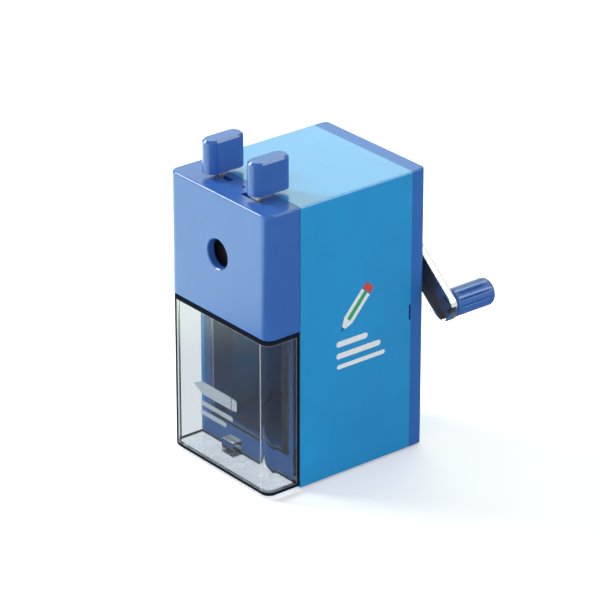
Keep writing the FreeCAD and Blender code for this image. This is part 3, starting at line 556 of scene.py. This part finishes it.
def pressed_chrome(name):
    """Chrome on a pressed channel: bright outside, duller in its hollow, where painted shade from ambient
    occlusion darkens its colour.
    """
    hollow_reach, hollow_span = 8 * MM, (0.62, 0.96)
    dull, glossy = 0.6, 0.16
    material = smooth_chrome(name, WARM_CHROME, glossy)
    tree = material.node_tree
    hollow = tree.nodes.new("ShaderNodeAmbientOcclusion")
    hollow.inputs["Distance"].default_value = hollow_reach
    openness = hollow.outputs["AO"]
    # Painted shade: the colour darkens where the ambient occlusion finds the channel's hollow.
    blend_colour(material, fade(tree, openness, *hollow_span), "B", "A", PAINTED_HOLLOW_SHADE)
    tree.links.new(fade(tree, openness, *hollow_span, dull, glossy),
                   tree.nodes["Principled BSDF"].inputs["Roughness"])
    return material


def printed_ink(name, colour):
    """A thin printed film with a slightly uneven cover."""
    cover_scale, cover_span, cover_dark = 900, (0.3, 0.6), 0.9
    material = shaded(name, colour, 0.4)
    cover = texture(material, "Noise", cover_scale, Detail=3.0)
    vary_colour(material, cover.outputs["Fac"], cover_span, (scaled(colour, cover_dark), colour))
    return material


def make_materials():
    """Every look of the object, by name."""
    return {
        "blue_plastic": moulded_plastic("blue_plastic", BLUE, 0.2),
        "cover_blue": moulded_plastic("cover_blue", COVER_BLUE, 0.2, specular=0.36),
        "light_blue_plastic": moulded_plastic("light_blue_plastic", SKY_BLUE, 0.24, coat=0.8),
        "satin_blue": shade_painted_plastic("satin_blue", FRAME_BLUE),
        "grey_plastic": matt_plastic("grey_plastic", DARK_GREY),
        "smoked_clear_plastic": smoked_plastic("smoked_clear_plastic"),
        "black_rubber": rubber("black_rubber", BLACK),
        "plated_steel": metal("plated_steel", (0.62, 0.63, 0.65), 0.28),
        "spring_steel": metal("spring_steel", (0.42, 0.43, 0.45), 0.32),
        "chrome_steel": smooth_chrome("chrome_steel", CHROME, 0.12),
        "tool_steel": metal("tool_steel", (0.34, 0.35, 0.37), 0.3, scale=1500),
        "brass": metal("brass", (0.70, 0.50, 0.20), 0.3, scale=1200),
        "pressed_chrome": pressed_chrome("pressed_chrome"),
        "dull_rivet": metal("dull_rivet", (0.30, 0.30, 0.33), 0.5),
        "zinc_steel": metal("zinc_steel", (0.60, 0.58, 0.55), 0.42),
        "white_ink": printed_ink("white_ink", (0.86, 0.88, 0.90)),
        "navy_ink": printed_ink("navy_ink", (0.03, 0.06, 0.30)),
        "green_ink": printed_ink("green_ink", (0.02, 0.42, 0.16)),
        "red_ink": printed_ink("red_ink", (0.66, 0.06, 0.05)),
        "frosted_ink": printed_ink("frosted_ink", (0.50, 0.54, 0.58)),
    }


# ---------------------------------------------------------------- mesh helpers

SHARP_ANGLE = math.radians(38)


def new_piece(name, vertices, faces, material, body, smooth=True):
    """A mesh object that rides on a body."""
    mesh = bpy.data.meshes.new(name)
    mesh.from_pydata([tuple(v) for v in vertices], [], faces)
    shape = bmesh.new()
    shape.from_mesh(mesh)
    bmesh.ops.recalc_face_normals(shape, faces=shape.faces)
    shape.to_mesh(mesh)
    shape.free()
    for polygon in mesh.polygons:
        polygon.use_smooth = smooth
    piece = new_item(name, mesh)
    mesh.materials.append(materials[material])
    if smooth:
        mesh.set_sharp_from_angle(angle=SHARP_ANGLE)
    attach(piece, body)
    return piece


def skin(rings, loop=False):
    """Vertices and faces of a skin over equal closed rings; loop joins the last ring to the first."""
    count = len(rings[0])
    vertices = [point for ring in rings for point in ring]
    faces = []
    spans = len(rings) if loop else len(rings) - 1
    for i in range(spans):
        a, b = i * count, (i + 1) % len(rings) * count
        faces += [(a + j, a + (j + 1) % count, b + (j + 1) % count, b + j) for j in range(count)]
    if not loop:
        faces.append(tuple(range(count))[::-1])
        faces.append(tuple(range(len(vertices) - count, len(vertices))))
    return vertices, faces


def wire(points, radius, sides=10):
    """Rings of a round wire that follows a list of points."""
    rings = []
    for i, point in enumerate(points):
        ahead = points[min(i + 1, len(points) - 1)] - points[max(i - 1, 0)]
        across = ahead.cross(Vector((0.0, 0.0, 1.0)))
        if across.length < 1e-9:
            across = ahead.cross(Vector((1.0, 0.0, 0.0)))
        across.normalize()
        third = ahead.cross(across).normalized()
        rings.append([point + (across * math.cos(t) + third * math.sin(t)) * radius
                      for t in (2 * math.pi * k / sides for k in range(sides))])
    return rings


def coil_points(start, end, radius, turns, closed_turns=1.0, steps=28):
    """Centre line of a compression spring: its last turn at each end lies almost flat."""
    flat_rise = 0.03
    axis = (end - start).normalized()
    side = axis.orthogonal().normalized()
    other = axis.cross(side)
    length = (end - start).length
    total = turns + 2 * closed_turns
    points = []
    for i in range(int(total * steps) + 1):
        turn = i / steps
        middle = min(max(turn - closed_turns, 0), turns) / turns
        ends = min(turn, closed_turns) + max(0.0, turn - closed_turns - turns)
        along = flat_rise * length * ends + (1 - 2 * flat_rise * closed_turns) * length * middle
        angle = 2 * math.pi * turn
        points.append(start + axis * along + (side * math.cos(angle) + other * math.sin(angle)) * radius)
    return points


def find_joint(name):
    return next(item for item in frame["joints"] if item["name"] == name)


# ---------------------------------------------------------------- pieces

def make_return_springs():
    """Coils on the guide rods."""
    wire_radius, turns = 0.35 * MM, 10
    for node in ("return_spring_left", "return_spring_right"):
        low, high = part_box(node)
        centre_x, centre_z = (low.x + high.x) / 2, (low.z + high.z) / 2
        radius = (high.x - low.x) / 2 - wire_radius
        start = Vector((centre_x, low.y + wire_radius, centre_z))
        end = Vector((centre_x, high.y - wire_radius, centre_z))
        vertices, faces = skin(wire(coil_points(start, end, radius, turns), wire_radius))
        piece = new_piece("coil_" + node, vertices, faces, "spring_steel", "housing")
        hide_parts(node)
        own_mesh(piece)


def make_grip_spring():
    """The spring between the levers, in two halves that meet at its middle."""
    wire_radius, turns, closed_turns = 0.3 * MM, 4.5, 0.5
    low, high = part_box("grip_spring")
    centre = (low + high) / 2
    radius = (high.z - low.z) / 2 - wire_radius
    for side, name, joint in ((-1, "grip_coil_left", "left_lever_squeeze"),
                              (1, "grip_coil_right", "right_lever_squeeze")):
        end = Vector((high.x if side > 0 else low.x, centre.y, centre.z))
        end.x -= side * wire_radius
        points = coil_points(centre, end, radius, turns, closed_turns)
        vertices, faces = skin(wire(points, wire_radius))
        piece = new_piece(name, vertices, faces, "spring_steel", "face_block")
        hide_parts("grip_spring")
        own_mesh(piece)


def make_handle():
    """Fluted grip: rounded ribs with narrow grooves that fade into a crowned end."""
    bore, well, well_depth, lip = 1.56 * MM, 3.1 * MM, 3.0 * MM, 0.15 * MM
    foot_inner, foot_edge, foot_round, foot_land = 1.0 * MM, 0.25 * MM, 0.7 * MM, 1.4 * MM
    straight_steps = 16
    crown, crown_width, crown_steps = 1.7 * MM, 0.95, 8
    ribs, steps_per_rib = 12, 20
    groove_depth, groove_share, groove_sharpness, rib_crown = 0.55 * MM, 0.30, 1.4, 0.12 * MM
    flute_foot, flute_foot_fade, flute_end, flute_end_fade = 1.0 * MM, 1.0 * MM, 1.6 * MM, 3.2 * MM
    fluted_band = 1.2 * MM

    low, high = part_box("crank_handle")
    centre_x, centre_z = (low.x + high.x) / 2, (low.z + high.z) / 2
    radius = (high.x - low.x) / 2
    length = high.y - low.y
    profile = [(bore, length - well_depth), (bore, 0), (radius - foot_inner, 0),
               (radius - foot_edge, lip), (radius, foot_round), (radius, foot_land)]
    profile += [(radius, foot_land + (length - foot_land - crown) * step / straight_steps)
                for step in range(1, straight_steps + 1)]
    for step in range(1, crown_steps + 1):
        turn = math.pi / 2 * step / crown_steps
        profile.append((radius - crown * crown_width * (1 - math.cos(turn)),
                        length - crown + crown * math.sin(turn)))
    profile += [(well + lip, length), (well, length - lip), (well, length - well_depth)]

    around = ribs * steps_per_rib
    rings = []
    for r, along in profile:
        from_foot = min(max((along - flute_foot) / flute_foot_fade, 0), 1)
        to_end = min(max((length - flute_end - along) / flute_end_fade, 0), 1)
        fluting = from_foot * to_end if r > radius - fluted_band else 0
        ring = []
        for k in range(around):
            angle = 2 * math.pi * k / around
            off_rib = abs((k / steps_per_rib) % 1.0 - 0.5) * 2
            groove = max(0.0, 1 - (1 - off_rib) / groove_share)
            depth = (groove_depth * groove ** groove_sharpness + rib_crown * off_rib ** 2) * fluting
            ring.append(Vector((centre_x + (r - depth) * math.cos(angle), low.y + along,
                                centre_z + (r - depth) * math.sin(angle))))
        rings.append(ring)
    vertices, faces = skin(rings, loop=True)
    piece = new_piece("fluted_handle", vertices, faces, "blue_plastic", "handle")
    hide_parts("crank_handle")


def make_cutter():
    """Helical cutter: hooked blades wound round a core, on the tilted axis of its pinion."""
    start, length = 6.2 * MM, 24 * MM
    outer, root, bore = 4.98 * MM, 3.75 * MM, 1.64 * MM
    blades, layers, twist = 12, 49, math.radians(150)
    hook = (0.0, 0.55, 0.93, 1.0, 0.98, 0.86, 0.62, 0.36, 0.14, 0.03)
    end_height, end_slope = 0.55, 8

    spin = find_joint("cutter_spin")
    origin = Vector(spin["pos_m"])
    axis = Vector(spin["axis"]).normalized()
    side = Vector((1, 0, 0))
    up = axis.cross(side) * -1
    around = blades * len(hook)

    def ring(along, turned, size):
        points = []
        for k in range(around):
            angle = 2 * math.pi * k / around + turned
            points.append(origin + axis * along + (side * math.cos(angle) + up * math.sin(angle)) * size(k))
        return points

    rings = [ring(start, 0, lambda k: bore)]
    for layer in range(layers):
        share = layer / (layers - 1)
        edge = min(1, end_slope * share + end_height, end_slope * (1 - share) + end_height)
        rings.append(ring(start + length * share, twist * share,
                          lambda k: root + (outer - root) * hook[k % len(hook)] * edge))
    rings.append(ring(start + length, twist, lambda k: bore))
    vertices, faces = skin(rings, loop=True)
    piece = new_piece("cutter_blades", vertices, faces, "tool_steel", "cutter")
    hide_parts("helical_cutter")


# ---------------------------------------------------------------- printed pictograms

def rounded_bar(start, end, half):
    """Outline of a bar with round ends, as (across, up) points."""
    arc_steps = 8
    (u1, v1), (u2, v2) = start, end
    heading = math.atan2(v2 - v1, u2 - u1)
    points = []
    for (u, v), first in (((u2, v2), heading - math.pi / 2), ((u1, v1), heading + math.pi / 2)):
        for step in range(arc_steps + 1):
            angle = first + math.pi * step / arc_steps
            points.append((u + half * math.cos(angle), v + half * math.sin(angle)))
    return points


def print_shape(name, outline, origin, across, lift, ink, body):
    """A thin printed film: an outline drawn across and up from an origin, lifted off the surface."""
    film = 0.04 * MM
    up = Vector((0, 0, 1))
    outward = across.cross(up)
    base = [origin + across * u + up * v for u, v in outline]
    vertices, faces = skin([[p + outward * lift for p in base], [p + outward * (lift + film) for p in base]])
    new_piece(name, vertices, faces, ink, body, smooth=False)


def pencil_shapes(tip, angle, length, half):
    """Outlines of a pencil drawn from its tip: lead, wood, barrel, stripe and end."""
    c, s = math.cos(angle), math.sin(angle)

    def turned(points):
        return [(tip[0] + along * c - side * s, tip[1] + along * s + side * c) for along, side in points]

    wood_end = 2.0 * half
    lead_end = 0.36 * wood_end
    lead_half = half * lead_end / wood_end
    stripe_start, stripe_half = wood_end + 0.3 * MM, half * 0.36
    barrel_end = length - 1.3 * half
    cap_start, cap_half = barrel_end + 0.4 * MM, half * 0.8
    return {
        "lead": turned([(0, 0), (lead_end, -lead_half), (lead_end, lead_half)]),
        "wood": turned([(lead_end, -lead_half), (wood_end, -half), (wood_end, half), (lead_end, lead_half)]),
        "barrel": turned([(wood_end, -half), (barrel_end, -half), (barrel_end, half), (wood_end, half)]),
        "stripe": turned([(stripe_start, -stripe_half), (barrel_end, -stripe_half),
                          (barrel_end, stripe_half), (stripe_start, stripe_half)]),
        "end": turned([(cap_start, -half), (length, -cap_half), (length, cap_half), (cap_start, half)]),
    }


def print_bars(prefix, bars, start, origin, across, ink, body):
    """Round-ended bars from one start line; each bar is its reach, height and half thickness in mm."""
    for index, (reach, height, half) in enumerate(bars):
        bar = rounded_bar((start * MM, height * MM), (reach * MM, height * MM), half * MM)
        print_shape("%s_bar_%d" % (prefix, index + 1), bar, origin, across, 0.0, ink, body)


def make_side_print():
    """Pictogram on the case's right side: a pencil over three plain bars."""
    tip, slope, length, half = (-3.0 * MM, 61.0 * MM), math.radians(48), 21.5 * MM, 2.6 * MM
    bar_start, bars = -4.0, ((9.0, 56.0, 1.2), (15.5, 51.0, 1.2), (18.0, 46.4, 0.9))
    stripe_lift = 0.05 * MM
    inks = {"lead": "navy_ink", "wood": "white_ink", "barrel": "white_ink", "stripe": "green_ink",
            "end": "red_ink"}
    origin = Vector((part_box("body_shell")[1].x, 0, 0))
    across = Vector((0, 1, 0))
    for part, outline in pencil_shapes(tip, slope, length, half).items():
        lift = stripe_lift if part == "stripe" else 0.0
        print_shape("side_print_" + part, outline, origin, across, lift, inks[part], "housing")
    print_bars("side_print", bars, bar_start, origin, across, "white_ink", "housing")


def make_drawer_print():
    """Frosted pictogram on the inner side of the drawer's front wall: a pencil over two bars."""
    wall, gap = 2.0 * MM, 0.05 * MM
    tip, slope, length, half = (-17.5 * MM, 32.0 * MM), 0.0, 27.0 * MM, 2.7 * MM
    bar_start, bars = -12.0, ((6.0, 25.5, 1.0), (2.0, 21.5, 1.0))
    origin = Vector((0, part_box("shavings_drawer")[0].y + wall + gap, 0))
    across = Vector((1, 0, 0))
    for part, outline in pencil_shapes(tip, slope, length, half).items():
        if part != "stripe":
            print_shape("drawer_print_" + part, outline, origin, across, 0.0, "frosted_ink", "drawer")
    print_bars("drawer_print", bars, bar_start, origin, across, "frosted_ink", "drawer")


# ---------------------------------------------------------------- build

OWN_LOOKS = {"crank_arm": "pressed_chrome", "handle_pin": "dull_rivet", "chassis": "satin_blue",
             "rear_cover": "cover_blue", "left_grip_plate": "zinc_steel", "right_grip_plate": "zinc_steel"}
materials = make_materials()
for entry in frame["record"]["subparts"]:
    node = frame["nodes"][entry["node"]]
    node.data.materials.clear()
    node.data.materials.append(materials[OWN_LOOKS.get(entry["node"], entry["material_slot"])])

make_camera()
make_world()
make_floor()
make_lights()
bpy.context.scene.view_settings.view_transform = "Standard"

make_return_springs()
make_grip_spring()
make_handle()
make_cutter()
make_side_print()
make_drawer_print()
